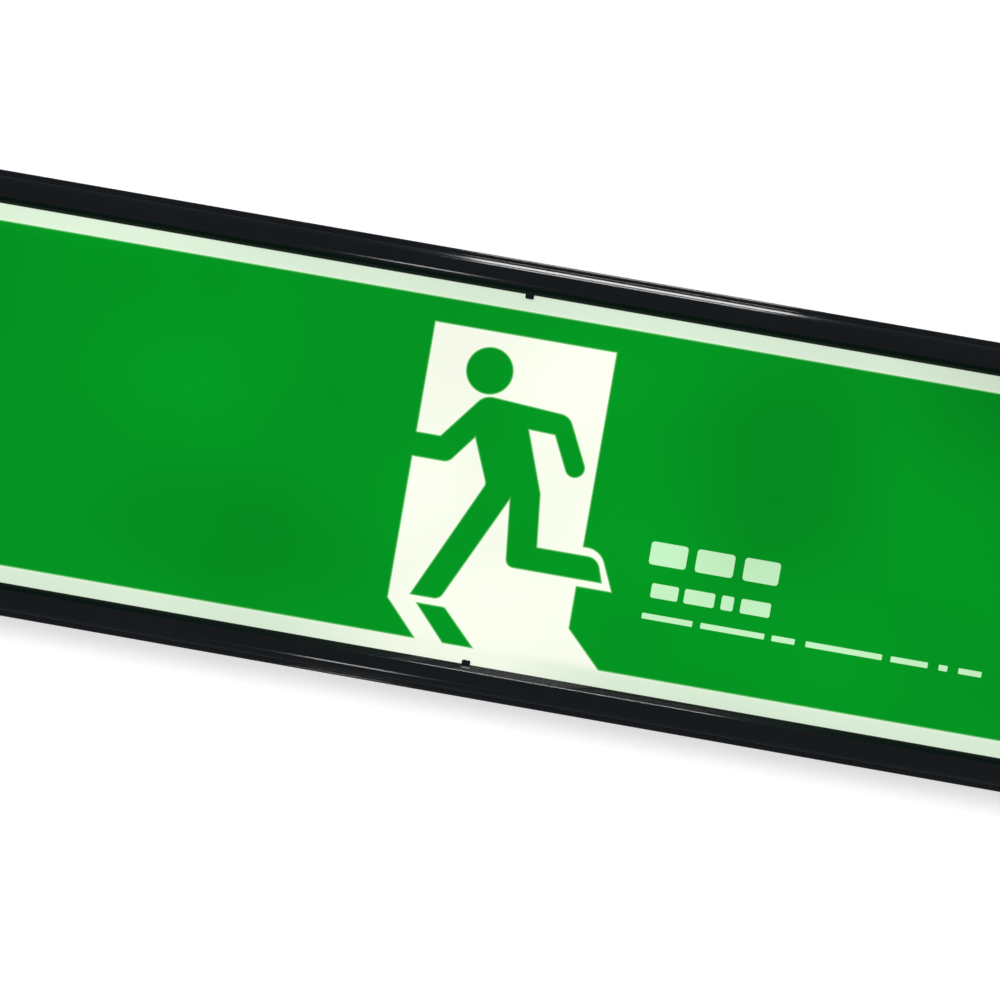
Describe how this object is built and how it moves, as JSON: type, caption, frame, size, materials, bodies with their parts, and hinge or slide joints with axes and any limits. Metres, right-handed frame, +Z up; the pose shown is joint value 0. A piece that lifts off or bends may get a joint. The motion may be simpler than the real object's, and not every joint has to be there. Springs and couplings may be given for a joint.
{
  "type": "emergency exit light",
  "caption": "Wall-mounted emergency exit light: lit face with a running figure, hinged front cover, lamps, battery and test button behind it.",
  "frame": {"origin": "centre of the flat wall face at the back of the housing", "axes": "+X to the right seen from the front, +Y out of the back into the wall, +Z up; the lit face looks along -Y"},
  "size_m": [0.6, 0.048, 0.2],
  "materials": {
    "black_abs": "gloss",
    "housing_abs": "satin",
    "opal_acrylic": "satin, lit from behind",
    "green_ink": "satin, lit from behind",
    "white_steel": "satin",
    "plated_steel": "satin",
    "white_board": "satin",
    "green_board": "satin",
    "clear_lens": "gloss",
    "white_nylon": "satin",
    "ferrite": "matte",
    "coil_tape": "satin",
    "capacitor_sleeve": "satin",
    "cell_sleeve": "gloss",
    "grey_plastic": "satin",
    "black_rubber": "matte",
    "red_button": "satin",
    "green_lamp": "gloss",
    "red_lamp": "gloss"
  },
  "bodies": {
    "housing": {"back_housing": "housing_abs", "cable_grommet": "black_rubber", "reflector_tray": "white_steel", "reflector_sides": "white_steel", "tray_screws": "plated_steel", "led_bars": "white_board", "led_chips": "clear_lens", "led_bar_screws": "plated_steel", "driver_board": "green_board", "board_spacers": "white_nylon", "board_screws": "plated_steel", "transformer_core": "ferrite", "transformer_coil": "coil_tape", "capacitors": "capacitor_sleeve", "board_sockets": "white_nylon", "battery_cells": "cell_sleeve", "battery_holder": "grey_plastic", "battery_strap": "plated_steel", "strap_screws": "plated_steel", "terminal_block": "white_nylon", "terminal_screws": "plated_steel", "signal_board": "green_board", "test_switch": "grey_plastic", "power_lamp": "green_lamp", "fault_lamp": "red_lamp"},
    "cover": {"front_bezel": "black_abs", "face_panel": "opal_acrylic", "green_print": "green_ink", "panel_clips": "plated_steel", "panel_clip_screws": "plated_steel", "hinge_pins": "plated_steel"},
    "button": {"test_button": "red_button"}
  },
  "joints": [
    {"name": "cover_hinge", "type": "hinge", "parent": "housing", "child": "cover", "pos_m": [0, -0.0035, 0.097], "axis": [-1, 0, 0], "range_deg": [0, 90]},
    {"name": "test_button_press", "type": "slide", "parent": "housing", "child": "button", "axis": [0, 0, 1], "range_m": [0, 0.002], "stiffness_N_per_m": 400, "springref_m": -0.001}
  ]
}
